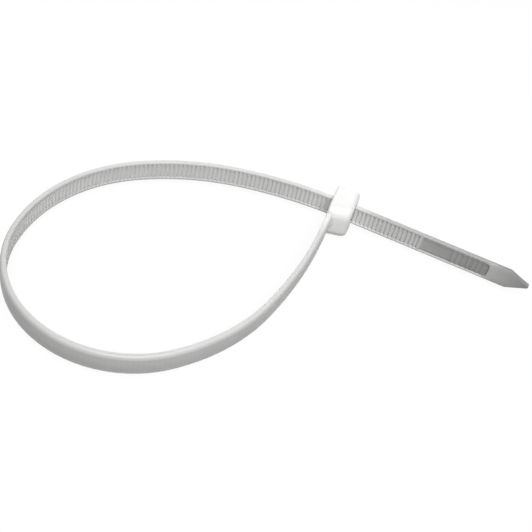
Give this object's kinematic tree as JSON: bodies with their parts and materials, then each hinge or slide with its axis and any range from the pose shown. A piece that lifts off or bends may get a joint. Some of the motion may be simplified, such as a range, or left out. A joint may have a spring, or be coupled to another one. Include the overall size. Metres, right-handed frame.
{
  "type": "cable tie",
  "caption": "Natural nylon cable tie, drawn into an egg-shaped loop through its own head, with the toothed strap on edge and a pointed tail.",
  "frame": {"origin": "point on the head's lower side, under the middle of the slot", "axes": "+X along the slot, the way the strap's end comes out; -Y the way the strap leaves the head; +Z across the strap, up from the surface that the tie lies on"},
  "size_m": [0.1012, 0.0662, 0.0082],
  "materials": {
    "nylon": "satin, natural uncoloured nylon"
  },
  "bodies": {
    "root": {"cable_tie": "nylon"}
  },
  "joints": []
}
